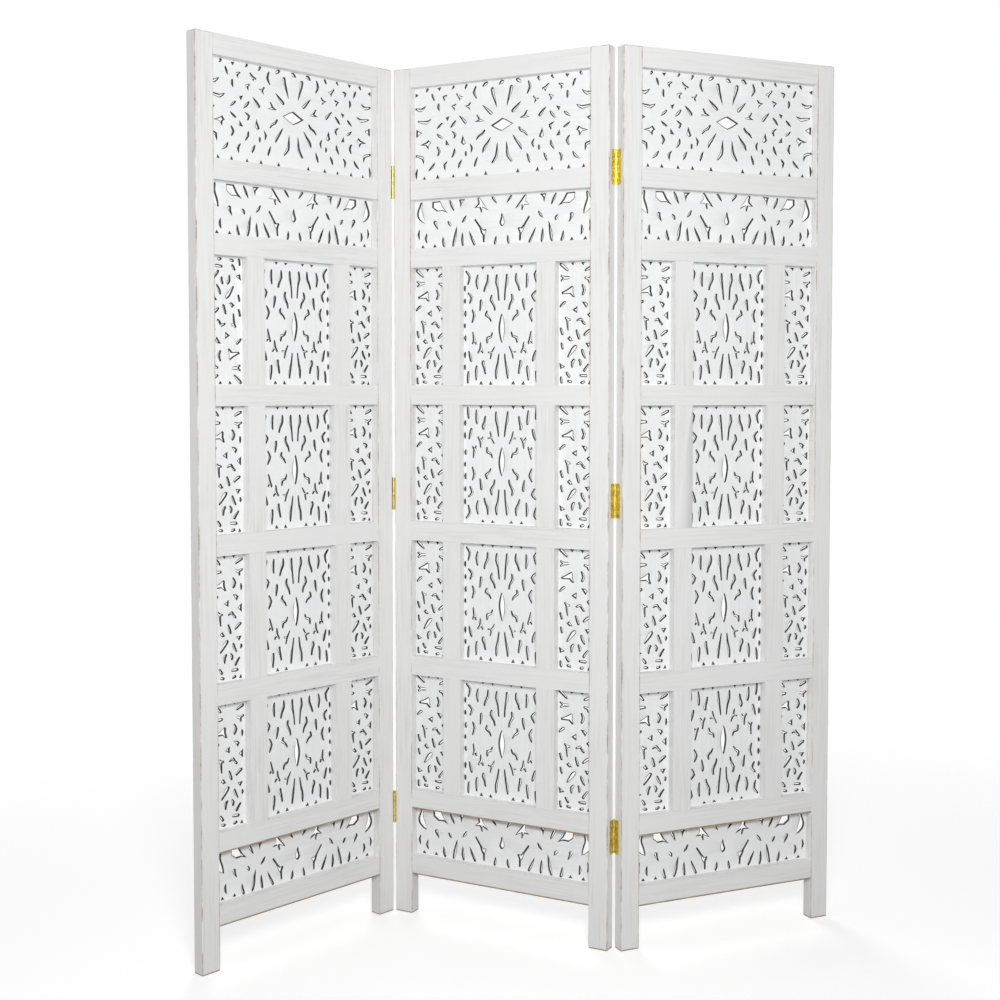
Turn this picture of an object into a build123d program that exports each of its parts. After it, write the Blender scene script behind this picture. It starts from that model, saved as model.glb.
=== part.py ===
from build123d import *
import os

os.makedirs("parts", exist_ok=True)

# A three-leaf folding screen of pierced (jali) boards in grooved wooden frames.
# +Z is up, the fronts face -Y, and the origin lies on the floor under the middle of the
# screen as it stands, half folded. All lengths are in millimetres and angles in degrees.

# ---- each leaf's frame ---------------------------------------------------------------
leaf_width = 508
frame_thickness = 27
stile_width = 42
rail_height = 41
mullion_width = 42
leg_height = 88

# ---- openings between the rails, and the upright rows' middle opening -------------------
top_pane_height = 197
frieze_height = 104
row_height = 252
row_count = 4
centre_width = 182

# ---- boards in their grooves -------------------------------------------------------------
pane_thickness = 5
pane_recess = 19
groove_depth = 6
groove_play = 0.15
edge_play = 0.3
tongue_play = 0.1

# ---- how the leaves stand, as headings from +X -----------------------------------------
left_heading = 47
middle_heading = -28.5
right_heading = 24

# ---- butt hinges -------------------------------------------------------------------------
top_hinge_inset = 239
middle_hinge_inset = 910
foot_hinge_inset = 231
hinge_length = 70
knuckle_count = 3
knuckle_gap = 0.3
plate_width = 17
plate_thickness = 1
plate_gap = 0.4
barrel_radius = 2.2
barrel_clearance = 0.25
barrel_sides = 12
pin_radius = 1
pin_play = 0.05
pin_overhang = 1

# ---- boards that were put in upside down, by leaf and row from the top -------------------
turned_centres = {("middle", 2), ("right", 4)}
turned_sides = {("left", 1, -1)}

# ---- what follows from the sizes above --------------------------------------------------
leaf_height = (leg_height + top_pane_height + 2 * frieze_height + row_count * row_height
               + (row_count + 4) * rail_height)
opening_width = leaf_width - 2 * stile_width
side_width = (opening_width - centre_width - 2 * mullion_width) / 2
groove_width = pane_thickness + 2 * groove_play
groove_front = pane_recess - groove_play
tongue_length = groove_depth - edge_play
tongue_thickness = groove_width - 2 * tongue_play
half_gap = plate_thickness + plate_gap / 2
barrel_offset = barrel_radius + barrel_clearance
knuckle_pitch = hinge_length / knuckle_count
hinge_levels = (foot_hinge_inset, leaf_height - middle_hinge_inset, leaf_height - top_hinge_inset)

# Openings from the top down, and the height of each one's middle.
opening_heights = [top_pane_height, frieze_height] + [row_height] * row_count + [frieze_height]
opening_levels = []
rail_levels = [leaf_height - rail_height / 2]
for opening_height in opening_heights:
    opening_levels.append(rail_levels[-1] - rail_height / 2 - opening_height / 2)
    rail_levels.append(opening_levels[-1] - opening_height / 2 - rail_height / 2)
row_levels = opening_levels[2:-1]

mullion_offset = (centre_width + mullion_width) / 2
side_offset = centre_width / 2 + mullion_width + side_width / 2
half_leaf = leaf_width / 2


# ---- where the leaves stand ----------------------------------------------------------------
def along(heading):
    """The unit vector along a leaf, from its left end to its right end."""
    return Vector(1, 0, 0).rotate(Axis.Z, heading)


def facing(heading):
    """The unit vector out of a leaf's front."""
    return Vector(0, -1, 0).rotate(Axis.Z, heading)


# The left hinges' barrels lie in front of the leaves, and the right ones' behind them.
front_barrel = barrel_offset
back_barrel = -frame_thickness - barrel_offset
left_axis = along(middle_heading) * -half_gap + facing(middle_heading) * front_barrel
right_axis = (along(middle_heading) * (leaf_width + half_gap)
              + facing(middle_heading) * back_barrel)
corners = {
    "left": (left_axis - along(left_heading) * (leaf_width + half_gap)
             - facing(left_heading) * front_barrel),
    "middle": Vector(0, 0, 0),
    "right": (right_axis + along(right_heading) * half_gap
              - facing(right_heading) * back_barrel),
}
headings = {"left": left_heading, "middle": middle_heading, "right": right_heading}

# The plan's outer corners give the middle of the whole screen.
plan = [corners[leaf] + along(headings[leaf]) * run - facing(headings[leaf]) * depth
        for leaf in corners for run in (0, leaf_width) for depth in (0, frame_thickness)]
plan_centre = Vector((min(p.X for p in plan) + max(p.X for p in plan)) / 2,
                     (min(p.Y for p in plan) + max(p.Y for p in plan)) / 2, 0)


def front_plane(leaf):
    """A leaf's front face: its origin is the foot of the leaf's middle, X runs right, Y up."""
    heading = headings[leaf]
    foot = corners[leaf] + along(heading) * half_leaf - plan_centre
    return Plane(foot, x_dir=along(heading), z_dir=facing(heading))


def save(name, part):
    part.label = name
    export_step(part, f"parts/{name}.step")


# ---- frame pieces ------------------------------------------------------------------------
def rail(front, level, groove_above, groove_below):
    """A cross rail between the stiles, grooved for its boards, with a tongue at each end."""
    with BuildPart() as bar:
        with BuildSketch(front):
            with Locations((0, level)):
                Rectangle(opening_width, rail_height)
        extrude(amount=-frame_thickness)
        with BuildSketch(front.offset(-groove_front)):
            for side, grooved in ((1, groove_above), (-1, groove_below)):
                if grooved:
                    with Locations((0, level + side * (rail_height - groove_depth) / 2)):
                        Rectangle(opening_width, groove_depth)
        if groove_above or groove_below:
            extrude(amount=-groove_width, mode=Mode.SUBTRACT)
        with BuildSketch(front.offset(-groove_front - tongue_play)):
            with Locations((0, level)):
                Rectangle(opening_width + 2 * tongue_length, rail_height - 2 * groove_depth)
        extrude(amount=-tongue_thickness)
    return bar.part


def stile(front, side):
    """A full-height upright with one stopped groove, which takes the boards and tongues."""
    middle = side * (opening_width + stile_width) / 2
    groove_top = leaf_height - groove_depth
    groove_foot = leg_height + groove_depth
    with BuildPart() as post:
        with BuildSketch(front):
            with Locations((middle, leaf_height / 2)):
                Rectangle(stile_width, leaf_height)
        extrude(amount=-frame_thickness)
        with BuildSketch(front.offset(-groove_front)):
            with Locations((side * (opening_width + groove_depth) / 2,
                            (groove_top + groove_foot) / 2)):
                Rectangle(groove_depth, groove_top - groove_foot)
        extrude(amount=-groove_width, mode=Mode.SUBTRACT)
    return post.part


def mullions(front):
    """The short uprights, two in each row, grooved on both sides and tongued into the rails."""
    places = [(side * mullion_offset, level) for level in row_levels for side in (-1, 1)]
    with BuildPart() as bars:
        with BuildSketch(front):
            with Locations(*places):
                Rectangle(mullion_width, row_height)
        extrude(amount=-frame_thickness)
        with BuildSketch(front.offset(-groove_front)):
            for x, level in places:
                for side in (-1, 1):
                    with Locations((x + side * (mullion_width - groove_depth) / 2, level)):
                        Rectangle(groove_depth, row_height)
        extrude(amount=-groove_width, mode=Mode.SUBTRACT)
        with BuildSketch(front.offset(-groove_front - tongue_play)):
            with Locations(*places):
                Rectangle(mullion_width - 2 * groove_depth, row_height + 2 * tongue_length)
        extrude(amount=-tongue_thickness)
    return bars.part


# ---- pierced boards ----------------------------------------------------------------------
# A piercing is (shape, across, up, length, width, lean). Across and up are shares of half
# the opening, so that the design spreads with its board, and lean turns it clockwise.
def wedge(length, width):
    """A knife cut or nick: broad at its foot, with its point up."""
    with BuildSketch() as cut:
        Polygon((0, length / 2), (width / 2, -length / 2), (-width / 2, -length / 2), align=None)
    return cut.sketch


def lozenge(length, width):
    """A diamond, length high."""
    with BuildSketch() as cut:
        Polygon((0, length / 2), (width / 2, 0), (0, -length / 2), (-width / 2, 0), align=None)
    return cut.sketch


def spindle(length, width):
    """Two arcs that meet in a point above and below."""
    with BuildSketch() as cut:
        with BuildLine():
            ThreePointArc((0, -length / 2), (width / 2, 0), (0, length / 2))
            ThreePointArc((0, length / 2), (-width / 2, 0), (0, -length / 2))
        make_face()
    return cut.sketch


def pierced_board(width, height, single=(), paired=()):
    """One board with its piercings; each paired one is repeated in the other half, mirrored."""
    cuts = list(single)
    for shape, across, up, length, breadth, lean in paired:
        cuts.append((shape, across, up, length, breadth, lean))
        cuts.append((shape, -across, up, length, breadth, -lean))
    with BuildSketch() as board:
        Rectangle(width + 2 * tongue_length, height + 2 * tongue_length)
        for shape, across, up, length, breadth, lean in cuts:
            with Locations(Location((across * width / 2, up * height / 2), -lean)):
                add(shape(length, breadth), mode=Mode.SUBTRACT)
    return board.sketch


# A sunburst of cuts around a lying diamond.
top_board = pierced_board(
    opening_width, top_pane_height,
    single=[
        (lozenge, 0, 0.04, 27, 54, 0),
    ],
    paired=[
        (wedge, 0.08, 0.63, 38, 8, 195),
        (wedge, 0.17, 0.41, 27, 7, 45),
        (wedge, 0.17, -0.33, 34, 6, 326),
        (wedge, 0.075, -0.52, 40, 9, 347),
        (wedge, 0.30, 0.78, 22, 9, 350),
        (wedge, 0.38, 0.50, 12, 12, 90),
        (wedge, 0.92, 0.56, 26, 7, 290),
        (wedge, 0.25, 0.21, 20, 10, 260),
        (wedge, 0.88, 0.28, 33, 6, 90),
        (wedge, 0.86, -0.20, 30, 14, 90),
        (wedge, 0.43, -0.19, 18, 12, 10),
        (wedge, 0.92, -0.51, 24, 9, 80),
    ],
)

# A hanging drop between two birds' feet, with rays below and a blossom near each end.
frieze_board = pierced_board(
    opening_width, frieze_height,
    single=[
        (wedge, 0, 0.04, 25, 12, 0),
    ],
    paired=[
        (wedge, 0.90, 0.50, 42, 14, 190),
        (lozenge, 0.73, 0.66, 22, 30, 0),
        (wedge, 0.25, 0.58, 26, 28, 0),
        (wedge, 0.21, -0.50, 26, 16, 185),
        (wedge, 0.25, -0.02, 24, 5, 40),
        (wedge, 0.33, -0.62, 32, 6, 24),
        (wedge, 0.53, -0.52, 38, 5, 350),
    ],
)

# An upright spindle in a wreath of cuts.
centre_board = pierced_board(
    centre_width, row_height,
    single=[
        (spindle, 0, -0.05, 59, 15, 0),
    ],
    paired=[
        (wedge, 0.10, 0.62, 48, 8, 185),
        (wedge, 0.10, -0.68, 46, 8, 350),
        (wedge, 0.41, 0.71, 31, 7, 348),
        (wedge, 0.75, 0.155, 24, 8, 350),
        (wedge, 0.56, -0.38, 18, 13, 0),
        (wedge, 0.27, -0.46, 24, 12, 335),
    ],
)

# Loose cuts around an arrow near the top.
side_board = pierced_board(
    side_width, row_height,
    single=[
        (wedge, -0.47, 0.516, 26, 20, 270),
        (wedge, -0.66, 0.89, 19, 9, 120),
        (wedge, -0.09, 0.22, 12, 12, 270),
        (wedge, -0.49, 0.0, 22, 10, 183),
        (wedge, -0.29, -0.44, 25, 9, 220),
        (wedge, 0.60, -0.71, 17, 6, 40),
    ],
)


def panes(front, board, places):
    """Boards of one design, each at (across, level, turn) in the leaf's grooves."""
    with BuildPart() as boards:
        with BuildSketch(front.offset(-pane_recess)):
            for across, level, turn in places:
                with Locations(Location((across, level), turn)):
                    add(board)
        extrude(amount=-pane_thickness)
    return boards.part


# ---- hinges --------------------------------------------------------------------------------
# Barrels and pins are prisms of many sides. A bore's flats stay clear of its pin's corners.
def hinge_planes(axis, wood, depth):
    """Level planes at one end of each hinge: X runs from the pin into the stile, and Y across
    the stile's edge."""
    planes = []
    for level in hinge_levels:
        centre = axis - plan_centre + Vector(0, 0, level)
        planes.append(Plane(centre, x_dir=wood, z_dir=wood.cross(depth)).offset(-hinge_length / 2))
    return planes


def hinge_plates(planes, knuckles):
    """Three plates on one stile's edge, each with its own share of the knuckles."""
    with BuildPart() as plates:
        with BuildSketch(*planes):
            with Locations((half_gap - plate_thickness / 2, barrel_offset + plate_width / 2)):
                Rectangle(plate_thickness, plate_width)
        extrude(amount=hinge_length)
        for knuckle in knuckles:
            start = knuckle * knuckle_pitch + knuckle_gap / 2
            with BuildSketch(*[plane.offset(start) for plane in planes]):
                with Locations((half_gap - plate_thickness / 2, barrel_offset / 2)):
                    Rectangle(plate_thickness, barrel_offset)
                RegularPolygon(barrel_radius, barrel_sides)
                RegularPolygon(pin_radius + pin_play, barrel_sides, major_radius=False,
                               mode=Mode.SUBTRACT)
            extrude(amount=knuckle_pitch - knuckle_gap)
    return plates.part


def hinge_pins(planes):
    """A pin through each hinge's knuckles, which stands out a little at both ends."""
    with BuildPart() as pins:
        with BuildSketch(*[plane.offset(-pin_overhang) for plane in planes]):
            RegularPolygon(pin_radius, barrel_sides)
        extrude(amount=hinge_length + 2 * pin_overhang)
    return pins.part


# ---- the leaves --------------------------------------------------------------------------
for leaf in corners:
    front = front_plane(leaf)
    for side, name in ((-1, "left_stile"), (1, "right_stile")):
        save(f"{leaf}_leaf_{name}", stile(front, side))
    last_rail = len(rail_levels) - 1
    for number, level in enumerate(rail_levels):
        name = {0: "top_rail", last_rail: "bottom_rail"}.get(number, f"cross_rail_{number}")
        save(f"{leaf}_leaf_{name}", rail(front, level, number > 0, number < last_rail))
    save(f"{leaf}_leaf_mullions", mullions(front))
    save(f"{leaf}_leaf_top_pane", panes(front, top_board, [(0, opening_levels[0], 0)]))
    save(f"{leaf}_leaf_frieze_panes",
         panes(front, frieze_board, [(0, opening_levels[1], 0), (0, opening_levels[-1], 0)]))
    centres = []
    sides = []
    for row, level in enumerate(row_levels, start=1):
        centres.append((0, level, 180 if (leaf, row) in turned_centres else 0))
        for side in (-1, 1):
            turn = 180 if (leaf, row, side) in turned_sides else 0
            sides.append((side * side_offset, level, turn))
    save(f"{leaf}_leaf_centre_panes", panes(front, centre_board, centres))
    save(f"{leaf}_leaf_side_panes", panes(front, side_board, sides))

# ---- the joints --------------------------------------------------------------------------
# Each joint's left-hand stile carries the odd knuckles and its right-hand one the even ones,
# with the pins. Back is 1 where the stiles lie behind the barrels, and -1 where in front.
for name, axis, left_hand, right_hand, back in (
        ("left", left_axis, "left", "middle", 1), ("right", right_axis, "middle", "right", -1)):
    for leaf, wood_side, first_knuckle in ((left_hand, -1, 1), (right_hand, 1, 0)):
        planes = hinge_planes(axis, along(headings[leaf]) * wood_side,
                              facing(headings[leaf]) * -back)
        knuckles = range(first_knuckle, knuckle_count, 2)
        save(f"{name}_hinge_plates_on_{leaf}_leaf", hinge_plates(planes, knuckles))
        if first_knuckle == 0:
            save(f"{name}_hinge_pins", hinge_pins(planes))
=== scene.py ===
"""The looks of a three-leaf carved jali screen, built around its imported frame.

Lengths of the screen are in millimetres in each leaf's own space: X runs right from the
leaf's middle, Y runs up from the floor and Z out of its front. The scene is in metres.
"""

import math
import random

import bpy
from mathutils import Matrix, Vector
from mathutils.geometry import delaunay_2d_cdt

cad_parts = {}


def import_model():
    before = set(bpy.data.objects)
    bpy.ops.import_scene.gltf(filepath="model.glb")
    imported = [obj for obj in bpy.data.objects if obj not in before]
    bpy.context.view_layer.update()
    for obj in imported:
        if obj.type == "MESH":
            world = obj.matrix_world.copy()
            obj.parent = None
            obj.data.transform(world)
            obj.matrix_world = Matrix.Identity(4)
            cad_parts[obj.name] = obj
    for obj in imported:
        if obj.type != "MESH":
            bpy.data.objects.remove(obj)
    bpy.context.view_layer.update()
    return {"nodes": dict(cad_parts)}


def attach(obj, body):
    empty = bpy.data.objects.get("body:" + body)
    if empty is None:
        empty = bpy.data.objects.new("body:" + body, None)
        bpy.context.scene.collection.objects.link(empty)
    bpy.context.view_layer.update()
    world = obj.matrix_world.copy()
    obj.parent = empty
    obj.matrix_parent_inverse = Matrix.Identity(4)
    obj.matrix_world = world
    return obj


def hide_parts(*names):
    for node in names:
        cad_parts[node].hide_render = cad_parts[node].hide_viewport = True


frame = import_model()
nodes = frame["nodes"]

MM = 0.001
TAU = 2 * math.pi

# ---- the frame's sizes -----------------------------------------------------------------------
# Each leaf's heading is in degrees. An arris is eased over this width.
HEADINGS = {"left": 47, "middle": -28.5, "right": 24}
LEAF_WIDTH = 508
THICKNESS = 27
RAIL = 41
CROSS_RAILS = 6
LOW_RAIL_LEVEL = 253.5
BOTTOM_RAIL_LEVEL = 108.5
MULLION_OFFSET = 112
ARRIS = 1.8

# ---- the boards' sizes -----------------------------------------------------------------------
# Widths and heights are those of the openings that hold the boards, and levels are of their
# middles. A tongue is how far a board runs on into its groove.
OPENING = 424
CENTRE = 182
SIDE = 79
SIDE_OFFSET = 172.5
TOP = 197
FRIEZE = 104
ROW = 252
ROW_PITCH = ROW + RAIL
TOP_LEVEL = 1689.5
FRIEZE_LEVELS = (1498, 181)
ROW_LEVELS = (1279, 986, 693, 400)
PANE_FRONT = -19
PANE_BACK = -24
TONGUE = 5.7
# Boards that are fitted upside down, by leaf and row, and by side of the leaf.
TURNED_CENTRES = {("middle", 2), ("right", 4)}
TURNED_SIDES = {("left", 1, -1)}

# ---- the hinges' sizes -----------------------------------------------------------------------
HINGE_LEVELS = (231, 919, 1590)
HINGE_LENGTH = 70
KNUCKLES = 3
KNUCKLE_GAP = 0.3
PLATE_WIDTH = 17
PLATE_THICKNESS = 1
PLATE_CORNER = 2.5
HALF_GAP = 1.2
BARREL = 2.2
BARREL_OFFSET = 2.45
PIN = 1
BORE = 1.05
# Each screw's level, and its step across from the plate's middle.
SCREWS = ((-24, 1.5), (0, -1.5), (24, 1.5))
SCREW_HOLE = 2
SCREW_HEAD = 3.1
SCREW_TAPER = 1.1
HALF_DRIVER_SLOT = 0.45
DRIVER_DEPTH = 0.4
# How far edges are eased, how much the screws' holes widen at the plate's face and just under
# it, and how deep under that face a screw's head starts and has its full width.
PLATE_EASE = 0.12
HEAD_EASE = 0.25
KNUCKLE_EASE = 0.2
BORE_EASE = 0.1
COUNTERSINK = (1.3, 1.2)
HEAD_DEPTHS = (0.03, 0.15)


def leaf_space(leaf):
    """The matrix from a leaf's millimetres to the scene's metres."""
    heading = math.radians(HEADINGS[leaf])
    along = Vector((math.cos(heading), math.sin(heading), 0))
    facing = Vector((math.sin(heading), -math.cos(heading), 0))
    stile = nodes[f"{leaf}_leaf_left_stile"].data.vertices
    start = min(v.co.dot(along) for v in stile)
    front = max(v.co.dot(facing) for v in stile)
    foot = along * (start + LEAF_WIDTH * MM / 2) + facing * front
    columns = [along * MM, Vector((0, 0, MM)), facing * MM, foot]
    rows = [[column[axis] for column in columns] for axis in range(3)]
    return Matrix(rows + [[0, 0, 0, 1]])


SPACES = {leaf: leaf_space(leaf) for leaf in HEADINGS}


# ---- piercings -------------------------------------------------------------------------------
# A piercing is a closed outline on the board's face. Across is from the middle of the opening
# and down from its top edge, and a point's third number is how far the dark edge, scorched and
# made darker as painted shade, slopes in from there to the slit that goes through. A cut is drawn
# like a brush stroke, through points of (across, down, width).

# The slope is at most this wide, and no more than a share of the way to the middle.
RIM = 2
RIM_DEPTH = 1.2
CUT_SHARE = 0.66
FORK_SHARE = 0.5
BLOB_SHARE = 0.7
# Half a stroke's width is at least this, and then this much is added on each side.
LEAST_HALF = 0.8
ADDED_HALF = 0.3
# A stroke's end runs on by this share of its half width, and comes to a point where the stroke
# is narrower than this.
TIP_REACH = 0.7
POINTED = 2.5
# The slope is lengthened at a sharp corner by its mitre, which is one over a cosine: this is
# the least that the cosine counts as.
LEAST_MITRE = 0.35
# Each stretch of a curve between two drawn points is this many straight steps.
CURVE_STEPS = 2


def smooth(points):
    """A closed curve through the points."""
    curve = []
    count = len(points)
    for i in range(count):
        a, b, c, d = (Vector(points[(i + k) % count]) for k in (-1, 0, 1, 2))
        for step in range(CURVE_STEPS):
            t = step / CURVE_STEPS
            curve.append(0.5 * ((2 * b) + (c - a) * t + (2 * a - 5 * b + 4 * c - d) * t * t
                                + (3 * b - a - 3 * c + d) * t * t * t))
    return curve


def slope(half, share):
    """How far the edge slopes in where the piercing is this far from side to middle."""
    return min(RIM, half * share)


def half_width(width):
    """Half the width that a stroke of this drawn width is cut at."""
    return max(width / 2, LEAST_HALF) + ADDED_HALF


def cut(*path):
    """A stroke whose width changes from point to point."""
    points = [Vector(p[:2]) for p in path]
    last = len(path) - 1
    left, right = [], []
    for i, (_, _, width) in enumerate(path):
        way = points[min(i + 1, last)] - points[max(i - 1, 0)]
        way.normalize()
        half = half_width(width)
        across = Vector((-way.y, way.x)) * half
        end = {0: -1, last: 1}.get(i, 0)
        tip, one, other = (Vector((*p, slope(half, CUT_SHARE))) for p in (
            points[i] + way * end * half * TIP_REACH, points[i] + across, points[i] - across))
        if end and width < POINTED:
            left.append(tip)
        elif end == -1:
            left += [tip, one]
            right.append(other)
        elif end == 1:
            left += [one, tip]
            right.append(other)
        else:
            left.append(one)
            right.append(other)
    return smooth(left + right[::-1])


def fork(centre, *tips):
    """Arms from a centre of (across, down, width) to their tips."""
    x, y, width = centre
    middle = Vector((x, y))
    arms = sorted(tips, key=lambda tip: math.atan2(tip[1] - y, tip[0] - x))
    outline = []
    for i, (tip_x, tip_y, tip_width) in enumerate(arms):
        tip = Vector((tip_x, tip_y))
        way = (tip - middle).normalized()
        half = half_width(tip_width)
        side = Vector((-way.y, way.x)) * half
        ends = [tip] if tip_width < POINTED else [tip - side, tip + side]
        outline += [Vector((*p, slope(half, FORK_SHARE))) for p in ends]
        after = arms[(i + 1) % len(arms)]
        here = math.atan2(way.y, way.x)
        there = math.atan2(after[1] - y, after[0] - x)
        between = here + (there - here) % TAU / 2
        half = half_width(width)
        crotch = middle + Vector((math.cos(between), math.sin(between))) * half
        outline.append(Vector((*crotch, slope(half, FORK_SHARE))))
    return smooth(outline)


def area(loop):
    """The area inside a closed loop, negative where it turns right."""
    return sum(loop[i - 1].cross(p) for i, p in enumerate(loop)) / 2


def blob(*corners):
    """A straight-sided piercing, whose sides all slope in alike."""
    loop = [Vector(corner) for corner in corners]
    around = sum((p - loop[i - 1]).length for i, p in enumerate(loop))
    inwards = slope(2 * abs(area(loop)) / around, BLOB_SHARE)
    outline = []
    for i, p in enumerate(loop):
        a = (p - loop[i - 1]).normalized()
        b = (loop[(i + 1) % len(loop)] - p).normalized()
        mitre = max(math.sqrt((1 + a.dot(b)) / 2), LEAST_MITRE)
        outline.append(Vector((*p, inwards / mitre)))
    return outline


def tooth(x, y, size, rise):
    """A small triangle along an edge, which points up, or down where its rise is negative."""
    return blob((x - size / 2, y), (x + size / 2, y), (x + 0.5, y - rise))


def nick(x, y, length, width):
    """A short upright cut."""
    return cut((x, y - length / 2, width * 0.5), (x + 0.5, y, width), (x, y + length / 2, 1))


TOP_SINGLE = [
    cut((-4, 4, 4), (1, 5, 8), (7, 9, 2)),
    blob((-27, 92), (-9, 82), (0, 78.5), (9, 83), (27, 92), (10, 102), (0, 106), (-9, 102)),
]
TOP_PAIRED = [
    cut((35, 3, 5), (41, 6, 7), (46, 10, 1)),
    cut((84, 3, 5), (88, 10, 3)),
    cut((116, 3, 5), (120, 9, 2)),
    blob((146, 2), (156, 3), (151, 10)),
    cut((180, 3, 6), (184, 9, 2)),
    blob((203, 14), (211, 9), (211, 19)),
    cut((169, 15, 3), (166, 22, 5), (163, 30, 1)),
    cut((133, 21, 3), (140, 24, 7), (138, 32, 1)),
    fork((101, 27, 6), (109, 19, 3), (94, 28, 3), (101, 35, 1)),
    cut((62, 9, 3), (66, 21, 6), (60, 33, 2.5)),
    cut((23, 16, 7), (21, 27, 7), (16, 42, 4), (12, 56, 1)),
    cut((152, 37, 3), (153, 44, 6), (151, 52, 1)),
    fork((116, 45, 6), (110, 41, 3), (122, 44, 1), (113, 54, 2)),
    fork((80, 48, 5), (88, 46, 2), (74, 41, 3), (75, 56, 2)),
    cut((25, 67, 6), (33, 60, 6), (46, 48, 1)),
    cut((184, 38, 2), (195, 46, 7), (209, 43, 4)),
    blob((126, 64), (136, 67), (132, 75)),
    cut((103, 65, 1), (95, 72, 5), (87, 81, 6)),
    fork((53, 79, 6), (42, 81, 2), (59, 68, 3), (65, 81, 2)),
    cut((171, 66, 1), (183, 73, 7), (204, 69, 3)),
    cut((145, 78, 3), (151, 83, 5), (158, 89, 1)),
    cut((112, 75, 3), (118, 82, 6), (125, 89, 1)),
    blob((194, 94), (209, 86), (209, 104)),
    cut((158, 99, 1), (151, 105, 5), (144, 109, 3)),
    cut((122, 96, 1), (112, 103, 6), (115, 111, 3)),
    cut((41, 101, 4), (46, 108, 5), (54, 112, 4.5), (60, 119, 2.5)),
    blob((171, 118), (177, 110), (184, 115), (199, 120), (185, 122), (178, 131), (176, 121)),
    blob((135, 113), (126, 126), (136, 125)),
    blob((94, 106), (86, 125), (92, 128), (98, 123)),
    cut((26, 115, 1), (33, 126, 4), (43, 139, 6), (46, 148, 2)),
    cut((156, 128, 3), (151, 137, 6), (155, 146, 3)),
    cut((114, 133, 2), (115, 142, 6), (122, 153, 1)),
    nick(86, 147, 10, 5),
    cut((76, 127, 1), (71, 136, 5), (74, 146, 1)),
    cut((11, 128, 1), (12, 142, 4), (14, 157, 7), (23, 169, 4)),
    cut((209, 143, 4), (193, 148, 6.5), (191, 161, 2)),
    cut((163, 160, 2), (168, 168, 6), (179, 176, 1)),
    cut((132, 159, 1), (139, 167, 6), (137, 178, 1)),
    cut((97, 158, 2), (102, 167, 6), (105, 175, 1)),
    cut((58, 155, 1), (62, 165, 5), (65, 174, 3)),
    cut((206, 169, 2), (209, 180, 5), (208, 192, 2)),
    tooth(38, 194, 9, 9),
    tooth(83, 194, 9, 9),
    tooth(117, 194, 8, 8),
    tooth(155, 194, 9, 9),
    tooth(188, 194, 8, 8),
]

FRIEZE_SINGLE = [
    cut((0, 38, 1), (-1, 48, 7), (0, 58, 12), (0, 63, 7)),
]
FRIEZE_PAIRED = [
    cut((196, 5, 5), (199, 16, 8), (200, 26, 14), (197, 36, 15), (188, 49, 2)),
    blob((150, 4), (169, 4), (169, 17), (157, 26), (144, 25), (131, 30), (142, 18)),
    cut((126, 4, 3), (121, 15, 6), (115, 27, 1)),
    blob((88, 3), (104, 3), (101, 10), (99, 22), (96, 11)),
    fork((50, 17, 13), (56, 3, 5), (66, 24, 2), (48, 33, 3), (32, 30, 2)),
    cut((23, 3, 4), (18, 9, 5), (12, 17, 1)),
    cut((162, 48, 8), (161, 54, 6), (155, 65, 1)),
    cut((131, 48, 2), (127, 53, 7), (124, 59, 1)),
    cut((85, 38, 1), (90, 46, 6), (96, 53, 1)),
    blob((63, 46), (66, 49), (54, 66), (50, 77), (46, 82), (45, 96), (41, 96), (41, 80),
         (37, 71), (39, 69), (45, 70), (51, 63)),
    cut((14, 84, 1), (15, 93, 6), (17, 101, 4)),
    cut((79, 71, 1), (72, 86, 5), (65, 100, 5)),
    cut((95, 73, 1), (95, 88, 6), (93, 101, 4)),
    cut((109, 60, 1), (112, 74, 5), (115, 90, 7), (118, 101, 4)),
    cut((143, 80, 1), (142, 92, 6), (139, 101, 5)),
    cut((183, 71, 2), (185, 82, 6), (182, 92, 1)),
    cut((201, 62, 2), (204, 73, 5), (201, 84, 1)),
    tooth(162, 101.5, 9, 7),
    tooth(192, 101.5, 9, 7),
]

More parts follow.
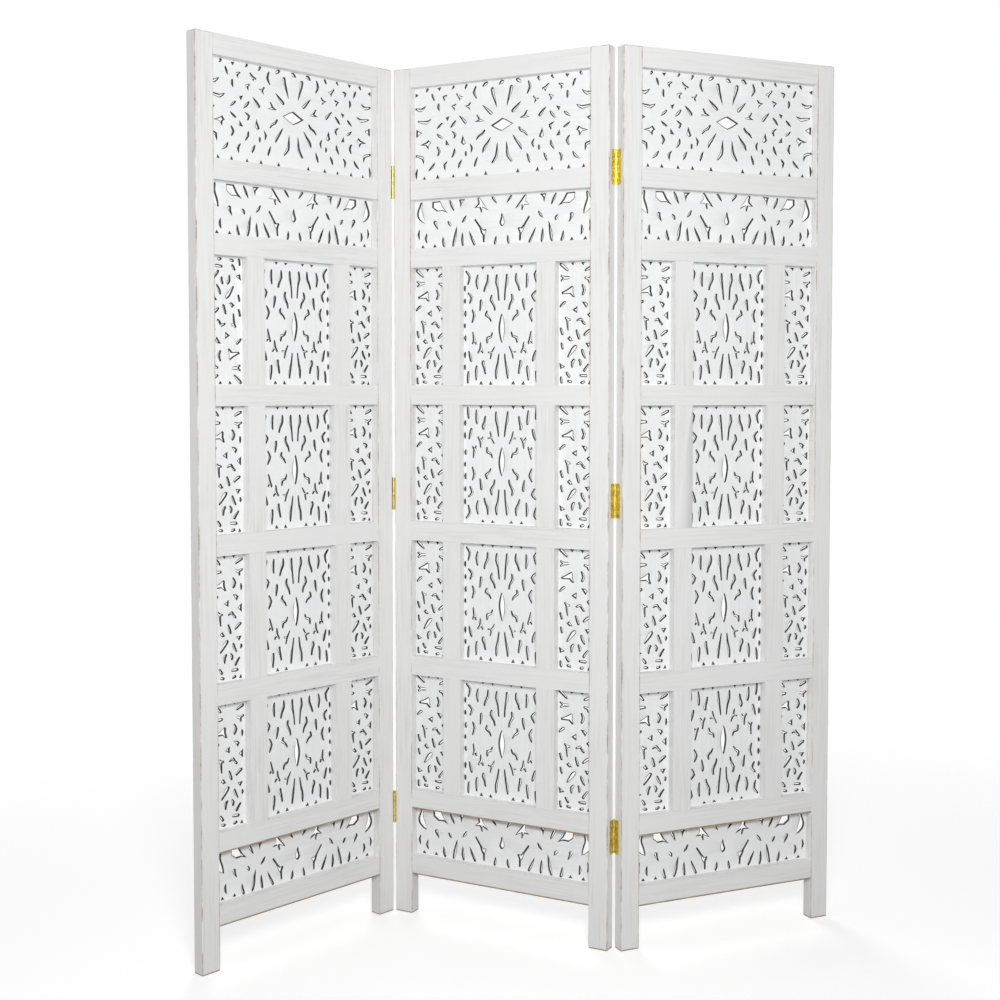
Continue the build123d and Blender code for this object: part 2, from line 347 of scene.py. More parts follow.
CENTRE_SINGLE = [
    cut((0, 102, 0), (0, 117, 11), (0, 132, 15), (0, 148, 11), (0, 163, 0)),
]
CENTRE_PAIRED = [
    tooth(22, 3, 9, -6),
    tooth(46, 3, 9, -6),
    cut((12, 21, 4), (12.5, 35, 7), (9, 50, 3.5), (7, 73, 3)),
    cut((34, 20, 3), (34, 33, 6), (39.5, 45, 4.5), (42, 54, 4)),
    cut((58, 20, 3), (60, 33, 6.5), (58, 48, 3)),
    cut((86, 11, 4), (77, 22, 6), (81, 38, 3)),
    nick(88, 47, 12, 5),
    nick(88, 74, 10, 5),
    nick(87, 101, 12, 6),
    nick(88, 126, 9, 5),
    nick(87, 152, 11, 6),
    nick(88, 188, 13, 5),
    nick(88, 214, 11, 5),
    cut((80, 57, 4), (71.5, 66, 6.5), (77, 78, 3.5)),
    cut((50, 73, 5), (50.5, 81, 6), (53, 95, 2.5)),
    cut((24, 63, 4), (26, 73, 6.5), (19, 85, 4.5), (17, 94, 3.5)),
    cut((71, 93, 3), (66, 105, 6.5), (71, 119, 3)),
    cut((36, 96, 3.5), (38, 104, 6.5), (30, 110, 4), (26, 117, 3)),
    cut((23, 141, 3), (26, 149, 4.5), (34.5, 152, 7), (36, 162, 3.5)),
    fork((66, 157, 7), (69, 140, 3), (62, 165, 4), (71, 164, 3)),
    fork((51, 176, 7), (51.5, 162, 3), (45, 184, 4), (57.5, 184, 4)),
    fork((25, 183.5, 5), (18, 171, 2.5), (33.5, 182, 3.5), (27.5, 196, 3)),
    cut((79, 180, 3), (76, 190, 6), (73, 201, 5)),
    cut((44, 201, 5), (45, 207, 7), (42, 216, 5), (40, 227, 4)),
    cut((7, 187, 2.5), (9.5, 205, 4), (13, 221, 6.5), (14, 237, 3.5)),
    cut((60, 212, 4), (61, 222, 7), (62, 240, 3)),
    cut((80, 223, 3.5), (81, 233, 6), (82, 246, 4)),
    tooth(27, 250, 9, 8),
    tooth(50, 250, 9, 8),
]

# The narrow boards' cuts are placed from their left edge.
SIDE_CUTS = [
    tooth(31, 2, 9, -7),
    tooth(54, 2, 9, -7),
    cut((4, 4, 6), (11, 10, 7), (20, 18.5, 4)),
    cut((59, 19, 4), (66, 15.5, 6), (75, 11.5, 5)),
    fork((12, 33.5, 7), (4.5, 28, 4), (5, 39, 4), (24, 33, 5)),
    fork((67, 36.5, 7), (58, 33.5, 4), (76, 32, 4), (69, 44, 4)),
    blob((6, 62), (20, 55.5), (30, 49), (33, 52), (32.5, 61), (36, 72), (31.5, 72.5),
         (24.5, 65.5), (8, 66)),
    cut((53, 48, 4), (57.5, 58, 6.5), (53.5, 67, 5)),
    nick(72, 68, 14, 5),
    cut((3, 91, 3.5), (8, 86, 5.5), (14, 82, 5)),
    blob((51, 81), (60, 82), (66, 86.5), (61, 95)),
    blob((29.5, 98), (41.5, 90.5), (41, 105)),
    blob((63, 108.5), (74, 100), (73.5, 118.5)),
    fork((20, 119, 7), (15, 113.5, 4), (27, 119, 4), (21.5, 139.5, 3)),
    cut((41, 120.5, 3.5), (49.5, 117, 6), (54, 123, 5), (59, 127.5, 4.5)),
    cut((5, 136, 5), (8.5, 148, 5)),
    cut((40, 140, 4), (43, 149, 6), (45.5, 157, 5)),
    cut((57, 150, 4.5), (64, 144, 6.5), (71, 140, 5)),
    blob((18.5, 157), (25, 151.5), (32, 161.5), (25, 163)),
    cut((6, 166, 4.5), (8.5, 177, 4.5)),
    blob((59, 165.5), (73, 165), (66, 175.5)),
    cut((38, 172, 6), (32, 178.5, 9), (21, 193.5, 3.5)),
    cut((52, 179, 4.5), (54.5, 187, 6), (60, 196, 3)),
    nick(71, 187, 9, 6),
    cut((35, 199.5, 5), (31, 205, 6.5), (30.5, 215, 3.5)),
    cut((46, 199, 4), (49.5, 205, 6.5), (48.5, 211, 4)),
    blob((1.5, 205.5), (15.5, 214.5), (4, 219)),
    cut((67, 209, 3.5), (61, 216.5, 5), (57, 222.5, 5.5)),
    cut((17.5, 226.5, 4.5), (23.5, 235, 6)),
    cut((48, 232, 4.5), (62, 232.5, 6)),
    cut((5, 236, 4.5), (6.5, 247, 6)),
    cut((20.5, 244, 5), (28, 245.5, 5)),
    cut((50, 247, 5), (57, 245, 5)),
    tooth(69, 250, 8, 8),
]


def design(width, height, single, paired=(), from_left=False):
    """Outlines around the middle of a board, with Y up. Paired ones are repeated mirrored."""
    shift = -width / 2 if from_left else 0
    holes = [[Vector((p.x + shift, height / 2 - p.y, p.z)) for p in hole] for hole in single]
    for hole in paired:
        for side in (1, -1):
            holes.append([Vector((side * p.x, height / 2 - p.y, p.z)) for p in hole])
    return width, height, holes


TOP_DESIGN = design(OPENING, TOP, TOP_SINGLE, TOP_PAIRED)
FRIEZE_DESIGN = design(OPENING, FRIEZE, FRIEZE_SINGLE, FRIEZE_PAIRED)
CENTRE_DESIGN = design(CENTRE, ROW, CENTRE_SINGLE, CENTRE_PAIRED)
SIDE_DESIGN = design(SIDE, ROW, SIDE_CUTS, from_left=True)


# ---- meshes ----------------------------------------------------------------------------------
SHARP_ANGLE = math.radians(32)
# The triangulation keeps what lies inside a loop, and takes points this close as one.
KEEP_INSIDE = 1
SAME_POINT = 1e-5
# A vector that is shorter than this has no direction.
NO_LENGTH = 1e-6


class Solid:
    """Points and faces of one piece, in a leaf's millimetres, with each face's material and
    each point's place in the wood: along its grain, and two ways across."""

    def __init__(self):
        self.points = []
        self.faces = []
        self.finishes = []
        self.grain = []

    def add(self, points, faces, finishes, grain):
        start = len(self.points)
        self.points += points
        self.faces += [[start + i for i in face] for face in faces]
        self.finishes += finishes
        self.grain += grain

    def build(self, name, leaf, body, materials, stands_for):
        """Makes the piece, which rides on a body and stands for CAD nodes."""
        mesh = bpy.data.meshes.new(name)
        space = SPACES[leaf]
        mesh.from_pydata([space @ Vector(p) for p in self.points], [], self.faces)
        for material in materials:
            mesh.materials.append(material)
        mesh.polygons.foreach_set("material_index", self.finishes)
        grain = mesh.attributes.new("grain", "FLOAT_VECTOR", "POINT")
        grain.data.foreach_set("vector", [n * MM for g in self.grain for n in g])
        mesh.validate()
        mesh.shade_smooth()
        mesh.set_sharp_from_angle(angle=SHARP_ANGLE)
        piece = bpy.data.objects.new(name, mesh)
        bpy.context.scene.collection.objects.link(piece)
        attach(piece, body)
        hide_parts(*stands_for)


def normals(loop):
    """A unit vector at each point of a closed loop, to the right of its way round."""
    out = []
    for i, p in enumerate(loop):
        a = (p - loop[i - 1]).normalized()
        b = (loop[(i + 1) % len(loop)] - p).normalized()
        n = Vector((a.y + b.y, -a.x - b.x))
        out.append(n.normalized() if n.length > NO_LENGTH else Vector((a.y, -a.x)))
    return out


def slab(outline, holes, steps):
    """A closed slab from one depth to another. Each step of it is (depth, how far the outline
    is drawn in, how much the holes are widened, finish of the band up to it), and the first
    step's finish is that of both faces. A hole's points may carry a third number, which its
    widening is multiplied by. Returns points, faces and the faces' finishes."""
    loops = [outline, *holes]
    for i, loop in enumerate(loops):
        if (area([Vector(p[:2]) for p in loop]) > 0) == (i > 0):
            loops[i] = loop[::-1]
    reaches = [p[2] if len(p) == 3 else 1 for loop in loops for p in loop]
    loops = [[Vector(p[:2]) for p in loop] for loop in loops]
    flat = [p for loop in loops for p in loop]
    ranges = []
    for loop in loops:
        start = ranges[-1][-1] + 1 if ranges else 0
        ranges.append(list(range(start, start + len(loop))))
    pushes = [push for loop in loops for push in normals(loop)]
    rim = len(ranges[0])

    def contour(drawn_in, widened):
        return [p - push * (drawn_in if i < rim else widened * reach)
                for i, (p, push, reach) in enumerate(zip(flat, pushes, reaches))]

    face = contour(*steps[0][1:3])
    turning_left = [ranges[0]] + [way_round[::-1] for way_round in ranges[1:]]
    made, _, triangles, origins, _, inside = delaunay_2d_cdt(
        face, [], turning_left, KEEP_INSIDE, SAME_POINT)
    if len(made) != len(flat):
        raise ValueError("piercings overlap")
    caps = []
    for triangle, kept in zip(triangles, inside):
        if all(loop == 0 for loop in kept):
            corners = [origins[i][0] for i in triangle]
            a, b, c = (face[i] for i in corners)
            caps.append(corners if (b - a).cross(c - a) > 0 else corners[::-1])
    count = len(flat)
    points = []
    for depth, drawn_in, widened, _ in steps:
        points += [(*p, depth) for p in contour(drawn_in, widened)]
    last = (len(steps) - 1) * count
    falling = steps[0][0] > steps[-1][0]
    faces = [cap if falling else cap[::-1] for cap in caps]
    faces += [[i + last for i in (cap[::-1] if falling else cap)] for cap in caps]
    kinds = [steps[0][3]] * (2 * len(caps))
    for layer in range(len(steps) - 1):
        here, below = layer * count, (layer + 1) * count
        for way_round in ranges:
            for i, j in zip(way_round, way_round[1:] + way_round[:1]):
                side = [here + i, below + i, below + j, here + j]
                faces.append(side if falling else side[::-1])
                kinds.append(steps[layer + 1][3])
    return points, faces, kinds


# ---- materials -------------------------------------------------------------------------------
FRAME_WHITE = (0.84, 0.84, 0.836, 1)
FRAME_GREY = (0.50, 0.49, 0.475, 1)
PANE_WHITE = (0.90, 0.905, 0.91, 1)
PANE_GREY = (0.74, 0.75, 0.76, 1)
BARE_WOOD = (0.42, 0.30, 0.19, 1)
# Dark rubbed wood: used for real wear, and also as painted shade along lower edges and on faces
# that look down.
RUBBED_WOOD_AND_SHADE = (0.33, 0.22, 0.11, 1)
BRIGHT_BRASS = (0.84, 0.74, 0.21, 1)
DULL_BRASS = (0.50, 0.37, 0.06, 1)
PAINT_SPECK = (0.8, 0.8, 0.78, 1)
BRIGHT_PLATING = (0.82, 0.77, 0.62, 1)
DULL_PLATING = (0.45, 0.36, 0.20, 1)
# In metres above a lower edge: the dark band, partly rubbing and partly painted shade, starts
# below the first height, full below the second.
EDGE_RUBBED_AND_SHADED = (0.0038, 0.0024)
# In metres above the floor: the same for the faces that look down, which are darkened partly by
# rubbing and partly as painted shade.
UNDERSIDE_RUBBED_AND_SHADED = (0.30, 0.28)


def new_material(name):
    """A material without nodes, and its tree."""
    material = bpy.data.materials.new(name)
    material.use_nodes = True
    material.node_tree.nodes.clear()
    return material, material.node_tree


def add(tree, kind, inputs=None, **settings):
    """A node with its settings, and its inputs set to values or linked to sockets."""
    node = tree.nodes.new(kind)
    for key, value in settings.items():
        setattr(node, key, value)
    for key, value in (inputs or {}).items():
        if isinstance(value, bpy.types.NodeSocket):
            tree.links.new(value, node.inputs[key])
        else:
            node.inputs[key].default_value = value
    return node


def coordinate(tree, output):
    """A texture coordinate in the object's own space: its place in metres, or its Normal."""
    return add(tree, "ShaderNodeTexCoord").outputs[output]


def upward(tree, vector):
    """A vector's Z: how high a place is, or how far a face looks up."""
    return add(tree, "ShaderNodeSeparateXYZ", {0: vector}).outputs["Z"]


def noise(tree, place, scale, detail, roughness):
    """Noise of so many cycles a metre."""
    return add(tree, "ShaderNodeTexNoise",
               {"Vector": place, "Scale": scale, "Detail": detail,
                "Roughness": roughness}).outputs[0]


def grain_noise(tree, stretch, detail, roughness):
    """Noise in the wood's own space: stretch is its cycles a metre along the grain and across."""
    place = add(tree, "ShaderNodeAttribute", attribute_name="grain").outputs["Vector"]
    mapped = add(tree, "ShaderNodeMapping", {"Vector": place, "Scale": stretch}).outputs[0]
    return noise(tree, mapped, 1, detail, roughness)


def band(tree, value, low, high, start=0.0, end=1.0):
    """value between low and high, as start to end."""
    return add(tree, "ShaderNodeMapRange",
               {"Value": value, "From Min": low, "From Max": high, "To Min": start,
                "To Max": end}).outputs[0]


def mixed(tree, factor, a, b):
    """A colour from a to b. The mix node's inputs share names, so they go by their places."""
    node = add(tree, "ShaderNodeMix", data_type="RGBA")
    for socket, value in ((node.inputs[0], factor), (node.inputs[6], a), (node.inputs[7], b)):
        if isinstance(value, bpy.types.NodeSocket):
            tree.links.new(value, socket)
        else:
            socket.default_value = value
    return node.outputs[2]


def math_node(tree, operation, a, b):
    return add(tree, "ShaderNodeMath", {0: a, 1: b}, operation=operation).outputs[0]


def product(tree, a, b):
    return math_node(tree, "MULTIPLY", a, b)


def mixed_shader(tree, factor, a, b):
    return add(tree, "ShaderNodeMixShader", {0: factor, 1: a, 2: b}).outputs[0]


def bumped(tree, height, distance, strength):
    return add(tree, "ShaderNodeBump",
               {"Height": height, "Distance": distance, "Strength": strength}).outputs[0]


def principled(tree, inputs):
    return add(tree, "ShaderNodeBsdfPrincipled", inputs).outputs[0]


def show(tree, surface):
    add(tree, "ShaderNodeOutputMaterial", {"Surface": surface})


def show_matt(tree, colour, height, roughness, distance):
    """Ends a tree as a rough surface of this colour, with a relief this deep."""
    normal = bumped(tree, height, distance, 0.5)
    show(tree, principled(tree, {"Base Color": colour, "Roughness": roughness,
                                 "Normal": normal}))


def painted_wood(name, paint, shade, wear, streakiness, foot=None):
    """Whitewash over open grain: paint with greyer streaks, worn to bare wood here and there.
    With a foot, a dark band runs along the lower edge at that height in metres, partly rubbed
    through and partly painted shade."""
    material, tree = new_material(name)
    streaks = grain_noise(tree, (7, 150, 150), 5, 0.62)
    pores = grain_noise(tree, (28, 900, 900), 3, 0.6)
    clouds = grain_noise(tree, (3, 9, 9), 3, 0.5)
    shading = product(tree, band(tree, streaks, 0.44, 0.72), band(tree, clouds, 0.35, 0.65))
    colour = mixed(tree, product(tree, shading, streakiness), paint, shade)
    rubbed = product(tree, band(tree, pores, 0.60, 0.78), band(tree, clouds, 0.42, 0.7))
    colour = mixed(tree, product(tree, rubbed, wear), colour, BARE_WOOD)
    # The band along the lower edge is partly rubbed wood and partly painted shade.
    if foot is not None:
        level = upward(tree, coordinate(tree, "Object"))
        edge = product(tree, band(tree, level, *(foot + height for height in EDGE_RUBBED_AND_SHADED)),
                       band(tree, pores, 0.35, 0.5, 0.5, 1))
        colour = mixed(tree, edge, colour, RUBBED_WOOD_AND_SHADE)
    show_matt(tree, colour, math_node(tree, "ADD", streaks, pores), 0.62, 0.0005)
    return material


def worn_and_shaded_arris(name, paint, wear):
    """An edge where the paint has rubbed through in places, and darker all along the undersides
    of the feet and of each leaf's two lowest rails, partly as rubbing and partly as painted
    shade."""
    material, tree = new_material(name)
    patches = grain_noise(tree, (14, 40, 40), 4, 0.65)
    fine = grain_noise(tree, (160, 500, 500), 2, 0.6)
    level = upward(tree, coordinate(tree, "Object"))
    facing = upward(tree, coordinate(tree, "Normal"))
    # Faces that look down low on the frame take the dark rubbed colour: partly wear, partly
    # painted shade.
    under = product(tree, band(tree, level, *UNDERSIDE_RUBBED_AND_SHADED), band(tree, facing, -0.1, -0.3))
    knocked_and_shaded = math_node(tree, "MAXIMUM", band(tree, patches, 0.40, 0.62), under)
    worn = product(tree, knocked_and_shaded, band(tree, fine, 0.25, 0.55, 0.45, 1))
    colour = mixed(tree, product(tree, worn, wear), paint, RUBBED_WOOD_AND_SHADE)
    show_matt(tree, colour, fine, 0.66, 0.0003)
    return material


def cut_wall(name, light, dark):
    """The side of a piercing: scorched, unpainted wood, made near-black partly as painted shade
    inside the cut.
    """
    material, tree = new_material(name)
    scorch_and_shade = grain_noise(tree, (60, 60, 260), 4, 0.6)
    colour = mixed(tree, band(tree, scorch_and_shade, 0.35, 0.65), dark, light)
    show_matt(tree, colour, scorch_and_shade, 0.85, 0.0004)
    return material


def brass(name):
    """Lacquered brass, mottled, with specks of whitewash."""
    material, tree = new_material(name)
    place = coordinate(tree, "Object")
    mottle = noise(tree, place, 230, 4, 0.65)
    specks = noise(tree, place, 620, 2, 0.5)
    colour = mixed(tree, band(tree, mottle, 0.40, 0.62), BRIGHT_BRASS, DULL_BRASS)
    metal = principled(tree, {"Base Color": colour, "Metallic": 1.0,
                              "Normal": bumped(tree, mottle, 0.0003, 0.3),
                              "Roughness": band(tree, mottle, 0.3, 0.7, 0.28, 0.42)})
    paint = principled(tree, {"Base Color": PAINT_SPECK, "Roughness": 0.6})
    show(tree, mixed_shader(tree, band(tree, specks, 0.62, 0.68), metal, paint))
    return material


def screw(name):
    """Plated steel with a few darker spots."""
    material, tree = new_material(name)
    spots = noise(tree, coordinate(tree, "Object"), 900, 3, 0.6)
    colour = mixed(tree, band(tree, spots, 0.45, 0.7), BRIGHT_PLATING, DULL_PLATING)
    show(tree, principled(tree, {"Base Color": colour, "Metallic": 1.0,
                                 "Roughness": band(tree, spots, 0.3, 0.7, 0.25, 0.5)}))
    return material


def frame_coat(name, foot=None):
    return painted_wood(name, FRAME_WHITE, FRAME_GREY, 0.4, 0.4, foot)


frame_paint = frame_coat("frame_paint")
leg_paint = frame_coat("leg_paint", 0)
bottom_rail_paint = frame_coat("bottom_rail_paint", (BOTTOM_RAIL_LEVEL - RAIL / 2) * MM)
low_rail_paint = frame_coat("low_rail_paint", (LOW_RAIL_LEVEL - RAIL / 2) * MM)
frame_arris = worn_and_shaded_arris("frame_arris", FRAME_WHITE, 0.9)
pane_paint = painted_wood("pane_paint", PANE_WHITE, PANE_GREY, 0.12, 0.5)
# The piercings' sloped rims and slit walls are near-black: partly scorched wood, partly painted
# shade.
pane_rim = cut_wall("pane_rim", (0.07, 0.068, 0.065, 1), (0.02, 0.019, 0.018, 1))
pane_cut = cut_wall("pane_cut", (0.09, 0.087, 0.083, 1), (0.03, 0.029, 0.027, 1))
hinge_brass = brass("hinge_brass")
screw_metal = screw("screw_metal")
BOARD_FINISHES = [pane_paint, pane_rim, pane_cut]
PAINTED, SLOPE, SLIT = range(3)
HINGE_FINISHES = [hinge_brass, screw_metal]
BRASS, PLATED = range(2)

random.seed(11)

# ---- the wooden frames -----------------------------------------------------------------------
# Each bar's grain starts somewhere along this many millimetres of noise.
GRAIN_RUN = 4000
WELD_DISTANCE = 1e-5
ARRIS_ANGLE = math.radians(40)


def dress_bar(name, leaf, upright, paint):
    """Paints a CAD bar along its own grain and eases its arrises."""
    bar = nodes[name]
    mesh = bar.data
    inverse = SPACES[leaf].inverted()
    shifts = {}
    grain = []
    for vertex in mesh.vertices:
        x, y, z = inverse @ vertex.co
        row = round((y - ROW_LEVELS[-1]) / ROW_PITCH)
        bar_key = (round(x / MULLION_OFFSET), row) if "mullions" in name else 0
        shift = shifts.setdefault(bar_key, random.random() * GRAIN_RUN)
        long, across = (y, x) if upright else (x, y)
        grain += [(long + shift) * MM, across * MM, z * MM]
    mesh.attributes.remove(mesh.attributes["custom_normal"])
    mesh.attributes.new("grain", "FLOAT_VECTOR", "POINT").data.foreach_set("vector", grain)
    mesh.materials.clear()
    mesh.materials.append(paint)
    mesh.materials.append(frame_arris)
    weld = bar.modifiers.new("weld", "WELD")
    weld.merge_threshold = WELD_DISTANCE
    ease = bar.modifiers.new("eased", "BEVEL")
    ease.width = ARRIS * MM
    ease.segments = 2
    ease.limit_method = "ANGLE"
    ease.angle_limit = ARRIS_ANGLE
    ease.material = 1


BARS = [("left_stile", True, leg_paint), ("right_stile", True, leg_paint),
        ("mullions", True, frame_paint), ("top_rail", False, frame_paint),
        ("bottom_rail", False, bottom_rail_paint)]
BARS += [(f"cross_rail_{number}", False,
          low_rail_paint if number == CROSS_RAILS else frame_paint)
         for number in range(1, CROSS_RAILS + 1)]
for leaf in HEADINGS:
    for bar_name, upright, paint in BARS:
        dress_bar(f"{leaf}_leaf_{bar_name}", leaf, upright, paint)

# ---- the carved boards -----------------------------------------------------------------------
# A board's seed sets how its cuts are shifted, each by up to twice the warp, and how far along
# its grain starts.
LARGEST_SEED = 9
GRAIN_PER_SEED = 400
WARP = 0.35


def warp(p, seed):
    """A small uneven shift, as no two boards are cut quite alike."""
    a = math.sin(p.x * 0.061 + seed * 2.1) + math.sin(p.y * 0.083 + seed * 3.7)
    b = math.sin(p.x * 0.077 + seed * 5.3) + math.sin(p.y * 0.058 + seed * 1.3)
    return Vector((a, b)) * WARP


def panes(name, leaf, board, places, upright):
    """The boards of one CAD node, each at (across, level, turned, mirrored)."""
    width, height, holes = board
    solid = Solid()
    for across, level, turned, mirrored in places:
        seed = random.random() * LARGEST_SEED
        middle = Vector((across, level))
        flip = Vector((-1 if turned != mirrored else 1, -1 if turned else 1))
        half = Vector((width / 2 + TONGUE, height / 2 + TONGUE))
        outline = [middle + Vector((half.x * x, half.y * y))
                   for x, y in ((-1, -1), (1, -1), (1, 1), (-1, 1))]
        cuts = [[Vector((*(middle + (p.xy + warp(p, seed)) * flip), p.z)) for p in hole]
                for hole in holes]
        points, faces, kinds = slab(outline, cuts, [
            (PANE_FRONT, 0, 0, PAINTED), (PANE_FRONT - RIM_DEPTH, 0, -1, SLOPE),
            (PANE_BACK + RIM_DEPTH, 0, -1, SLIT), (PANE_BACK, 0, 0, SLOPE)])
        shift = seed * GRAIN_PER_SEED
        if upright:
            grain = [(y + shift, x, z) for x, y, z in points]
        else:
            grain = [(x + shift, y, z) for x, y, z in points]
        solid.add(points, faces, kinds, grain)
    node = f"{leaf}_leaf_{name}"
    solid.build(f"{node}_carved", leaf, f"{leaf}_leaf", BOARD_FINISHES, [node])


for leaf in HEADINGS:
    mirrored = leaf == "middle"
    panes("top_pane", leaf, TOP_DESIGN, [(0, TOP_LEVEL, False, mirrored)], False)
    panes("frieze_panes", leaf, FRIEZE_DESIGN,
          [(0, level, False, mirrored) for level in FRIEZE_LEVELS], False)
    centres = []
    sides = []
    for row, level in enumerate(ROW_LEVELS, start=1):
        centres.append((0, level, (leaf, row) in TURNED_CENTRES, False))
        for side in (-1, 1):
            sides.append((side * SIDE_OFFSET, level, (leaf, row, side) in TURNED_SIDES, False))
    panes("centre_panes", leaf, CENTRE_DESIGN, centres, True)
    panes("side_panes", leaf, SIDE_DESIGN, sides, True)

# ---- the hinges ------------------------------------------------------------------------------
# A hinge is drawn in its own space: X runs from its pin into the stile, Y from its pin across
# the stile's edge, and Z up from its middle. A plate lies from GAP_FACE to HALF_GAP.
GAP_FACE = HALF_GAP - PLATE_THICKNESS
PLATE_MIDDLE = BARREL_OFFSET + PLATE_WIDTH / 2
KNUCKLE_PITCH = HINGE_LENGTH / KNUCKLES
# How many points there are round a circle, and along each arc.
AROUND = 24
CORNER_POINTS = 6
HALF_HEAD_POINTS = 13
CURL_POINTS = 26


def arc(x, y, radius, start, end, count):
    """Points along an arc, with both its ends, from one angle in degrees to another."""
    angles = [math.radians(start + (end - start) * i / (count - 1)) for i in range(count)]
    return [Vector((x + radius * math.cos(a), y + radius * math.sin(a))) for a in angles]


def circle(x, y, radius):
    return arc(x, y, radius, 0, 360, AROUND + 1)[:-1]


def turned_solid(profile):
    """A solid of revolution about Z, from (radius, level) rings; its ends are closed."""
    points = [(*p, level) for radius, level in profile for p in circle(0, 0, radius)]
    faces = [list(range(AROUND))[::-1]]
    for ring in range(len(profile) - 1):
        for i in range(AROUND):
            j = (i + 1) % AROUND
            low, high = ring * AROUND, (ring + 1) * AROUND
            faces.append([low + i, low + j, high + j, high + i])
    faces.append([(len(profile) - 1) * AROUND + i for i in range(AROUND)])
    return points, faces


def stood_up(points, faces, kinds):
    """A slab drawn flat, laid along the stile's edge. That mirrors it, so its faces turn."""
    return [(-z, x, y) for x, y, z in points], [face[::-1] for face in faces], kinds


def plate():
    """A plate with countersunk holes and its free corners rounded."""
    low, high = BARREL_OFFSET, BARREL_OFFSET + PLATE_WIDTH
    half = HINGE_LENGTH / 2
    x, y = high - PLATE_CORNER, half - PLATE_CORNER
    outline = [Vector((low, -half)), *arc(x, -y, PLATE_CORNER, -90, 0, CORNER_POINTS),
               *arc(x, y, PLATE_CORNER, 0, 90, CORNER_POINTS), Vector((low, half))]
    holes = [circle(PLATE_MIDDLE + step, level, SCREW_HOLE) for level, step in SCREWS]
    return stood_up(*slab(outline, holes, [
        (-GAP_FACE, PLATE_EASE, COUNTERSINK[0], BRASS),
        (-GAP_FACE - PLATE_EASE, 0, COUNTERSINK[1], BRASS), (-HALF_GAP, 0, 0, BRASS)]))


def screw_parts(level, step):
    """A countersunk screw: the two halves of its head beside the driver's slot, and the rest."""
    turn = Matrix.Rotation(math.radians(random.uniform(0, 180)), 2)
    seat = GAP_FACE + DRIVER_DEPTH
    chord = math.degrees(math.asin(HALF_DRIVER_SLOT / SCREW_HEAD))
    top, shoulder = (-GAP_FACE - depth for depth in HEAD_DEPTHS)
    x = PLATE_MIDDLE + step
    for start in (0, 180):
        half_head = arc(0, 0, SCREW_HEAD, start + chord, start + 180 - chord,
                        HALF_HEAD_POINTS)
        yield stood_up(*slab([turn @ p + Vector((x, level)) for p in half_head], [], [
            (top, HEAD_EASE, 0, PLATED), (shoulder, 0, 0, PLATED), (-seat, 0, 0, PLATED)]))
    yield stood_up(*slab(circle(x, level, SCREW_HEAD), [], [
        (-seat, 0, 0, PLATED), (-HALF_GAP, SCREW_TAPER, 0, PLATED)]))


def knuckle(number):
    """The plate's edge, curled round the pin, at one of the barrel's places from below."""
    foot = number * KNUCKLE_PITCH + KNUCKLE_GAP / 2 - HINGE_LENGTH / 2
    head = (number + 1) * KNUCKLE_PITCH - KNUCKLE_GAP / 2 - HINGE_LENGTH / 2
    start = math.degrees(math.acos(HALF_GAP / BARREL))
    end = math.degrees(math.acos(GAP_FACE / BARREL))
    curl = [Vector((GAP_FACE, BARREL_OFFSET)), Vector((HALF_GAP, BARREL_OFFSET))]
    curl += arc(0, 0, BARREL, start, end - 360, CURL_POINTS)
    return slab(curl, [circle(0, 0, BORE)], [
        (head, KNUCKLE_EASE, BORE_EASE, BRASS), (head - KNUCKLE_EASE, 0, 0, BRASS),
        (foot + KNUCKLE_EASE, 0, 0, BRASS), (foot, KNUCKLE_EASE, BORE_EASE, BRASS)])


def plate_parts(numbers):
    """A plate with its screws and its share of the knuckles."""
    yield plate()
    for level, step in SCREWS:
        yield from screw_parts(level, step)
    for number in numbers:
        yield knuckle(number)


def pin_parts():
    """A pin with a domed head above and a peened end below."""
    top = HINGE_LENGTH / 2
    profile = [(0.6, -top - 1), (PIN, -top - 0.6), (PIN, top + 0.05), (BARREL * 0.8, top + 0.05),
               (BARREL * 0.8, top + 0.4), (BARREL * 0.6, top + 0.8), (BARREL * 0.25, top + 1)]
    points, faces = turned_solid(profile)
    yield points, faces, [BRASS] * len(faces)


def from_hinge_space(point, side, behind, level):
    """A point of a hinge, in leaf space."""
    x, y, z = point
    out = y - THICKNESS - BARREL_OFFSET if behind else BARREL_OFFSET - y
    return side * (LEAF_WIDTH / 2 + HALF_GAP - x), level + z, out


def hinge_piece(node, leaf, side, behind, parts, *given):
    """One CAD node's parts, at each hinge of a joint. side is 1 on the leaf's right edge and -1
    on its left, and behind is true where the barrel lies behind the leaf."""
    solid = Solid()
    mirrored = (side == 1) != behind
    for level in HINGE_LEVELS:
        for points, faces, kinds in parts(*given):
            placed = [from_hinge_space(point, side, behind, level) for point in points]
            turned = [face[::-1] for face in faces] if mirrored else faces
            solid.add(placed, turned, kinds, placed)
    body = f"{leaf}_leaf"
    solid.build(f"{node}_shaped", leaf, body, HINGE_FINISHES, [node])


# Each joint's name, the leaves on its left and right, and whether its barrels lie behind.
JOINTS = (("left", "left", "middle", False), ("right", "middle", "right", True))
for joint, left_hand, right_hand, behind in JOINTS:
    hinge_piece(f"{joint}_hinge_plates_on_{left_hand}_leaf", left_hand, 1, behind,
                plate_parts, (1,))
    hinge_piece(f"{joint}_hinge_plates_on_{right_hand}_leaf", right_hand, -1, behind,
                plate_parts, (0, 2))
    hinge_piece(f"{joint}_hinge_pins", right_hand, -1, behind, pin_parts)

# ---- the studio ------------------------------------------------------------------------------
WHITE = (1, 1, 1, 1)
PALE = (0.62, 0.62, 0.62, 1)
WORLD_LEVEL = 0.40
# The floor's own glow where it is seen, and its glow to the rays that only carry light.
FLOOR_LIFT = 0.5
FLOOR_BOUNCE = 0.35
# In metres: half the floor's size, and where it starts to fade into the backdrop and is gone.
FLOOR_HALF = 9
FLOOR_OPAQUE = 1.0
FLOOR_CLEAR = 2.4
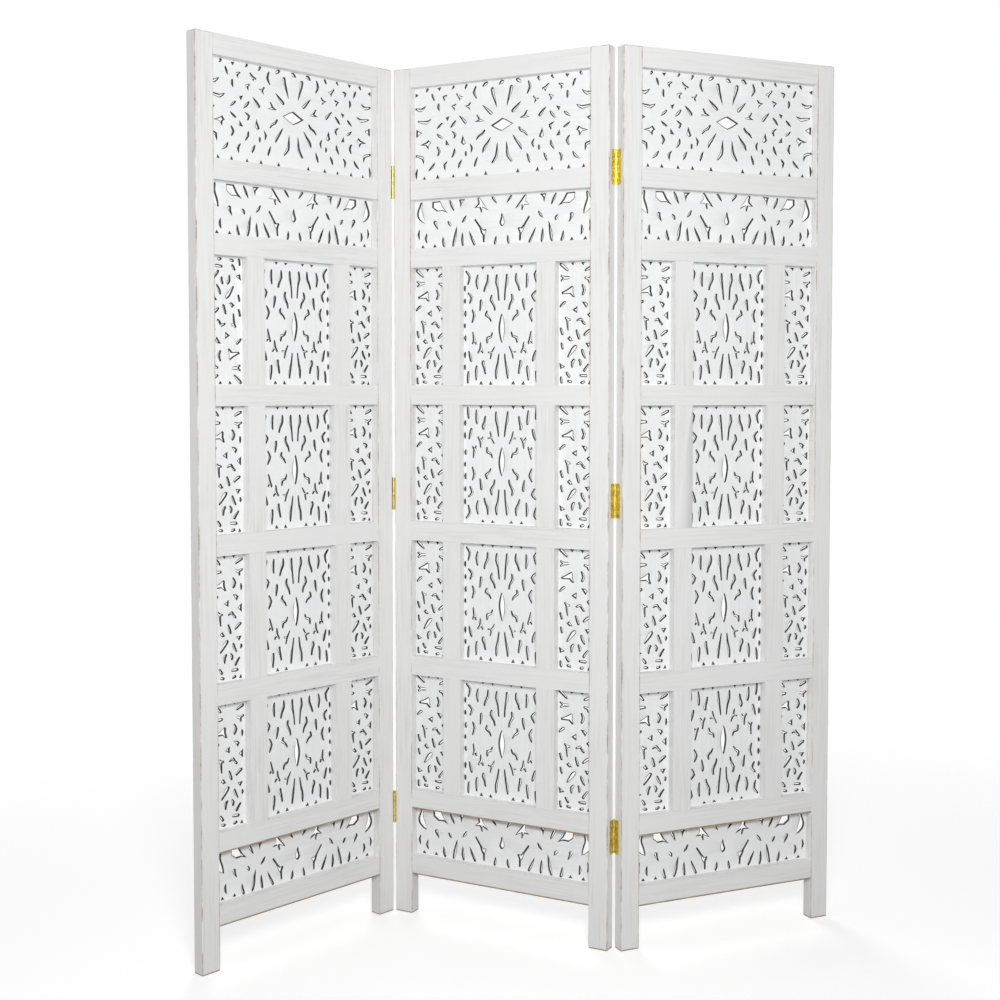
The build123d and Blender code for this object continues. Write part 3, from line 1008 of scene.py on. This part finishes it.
# In degrees: how far the camera looks down, and how far it is turned.
CAMERA_DOWN = 2.47
CAMERA_TURN = -0.02


def shows_stage(tree):
    """1 for the rays that show the stage itself: the camera's, reflections' and those through
    glass."""
    path = add(tree, "ShaderNodeLightPath")
    seen = path.outputs["Is Camera Ray"]
    for ray in ("Is Glossy Ray", "Is Transmission Ray"):
        seen = math_node(tree, "MAXIMUM", seen, path.outputs[ray])
    return seen


def glow(tree, strength):
    return add(tree, "ShaderNodeEmission", {"Color": WHITE, "Strength": strength}).outputs[0]


def floor_paper(name):
    """Pale paper that keeps the object's shadow, and fades into the backdrop further out. To
    the rays that only carry light it is an even soft glow."""
    material, tree = new_material(name)
    seen = shows_stage(tree)
    matt = add(tree, "ShaderNodeBsdfDiffuse", {"Color": PALE}).outputs[0]
    pale = add(tree, "ShaderNodeAddShader", {0: matt, 1: glow(tree, FLOOR_LIFT)}).outputs[0]
    reach = add(tree, "ShaderNodeVectorMath", {0: coordinate(tree, "Object")},
                operation="LENGTH").outputs["Value"]
    fade = add(tree, "ShaderNodeMapRange",
               {"Value": reach, "From Min": FLOOR_OPAQUE, "From Max": FLOOR_CLEAR},
               interpolation_type="SMOOTHSTEP").outputs[0]
    shown = mixed_shader(tree, seen, glow(tree, FLOOR_BOUNCE), pale)
    nothing = add(tree, "ShaderNodeBsdfTransparent").outputs[0]
    show(tree, mixed_shader(tree, product(tree, fade, seen), shown, nothing))
    return material


def lay_floor(name, material):
    mesh = bpy.data.meshes.new(name)
    mesh.from_pydata([(x * FLOOR_HALF, y * FLOOR_HALF, 0)
                      for x, y in ((-1, -1), (1, -1), (1, 1), (-1, 1))], [], [[0, 1, 2, 3]])
    mesh.materials.append(material)
    sheet = bpy.data.objects.new(name, mesh)
    bpy.context.scene.collection.objects.link(sheet)


def area_light(name, place, target, size, power):
    data = bpy.data.lights.new(name, "AREA")
    data.shape = "DISK"
    data.size = size
    data.energy = power
    lamp = bpy.data.objects.new(name, data)
    lamp.location = place
    lamp.rotation_euler = (Vector(target) - Vector(place)).to_track_quat("-Z", "Y").to_euler()
    bpy.context.scene.collection.objects.link(lamp)


def background(tree, strength):
    return add(tree, "ShaderNodeBackground", {"Color": WHITE, "Strength": strength}).outputs[0]


def world(level):
    """Even soft light, and white where the stage's backdrop is seen past the floor."""
    sky = bpy.data.worlds.new("studio")
    bpy.context.scene.world = sky
    sky.use_nodes = True
    tree = sky.node_tree
    tree.nodes.clear()
    both = mixed_shader(tree, shows_stage(tree), background(tree, level), background(tree, 1))
    add(tree, "ShaderNodeOutputWorld", {"Surface": both})


lay_floor("floor", floor_paper("floor_paper"))
world(WORLD_LEVEL)
area_light("key", place=(0.05, -2.8, 1.7), target=(0, 0, 1.15), size=0.8, power=54)
area_light("back_key", place=(-0.6, 3.4, 2.2), target=(0, 0, 0.9), size=1.6, power=50)

camera = bpy.data.cameras.new("camera")
camera.sensor_width = 36
camera.lens = 53.42
camera.shift_y = -0.0458
camera.clip_end = 100
eye = bpy.data.objects.new("camera", camera)
eye.location = (-0.0564, -3.045, 1.143)
eye.rotation_euler = (math.radians(90 - CAMERA_DOWN), 0, math.radians(CAMERA_TURN))
bpy.context.scene.collection.objects.link(eye)
bpy.context.scene.camera = eye
bpy.context.scene.view_settings.view_transform = "Standard"
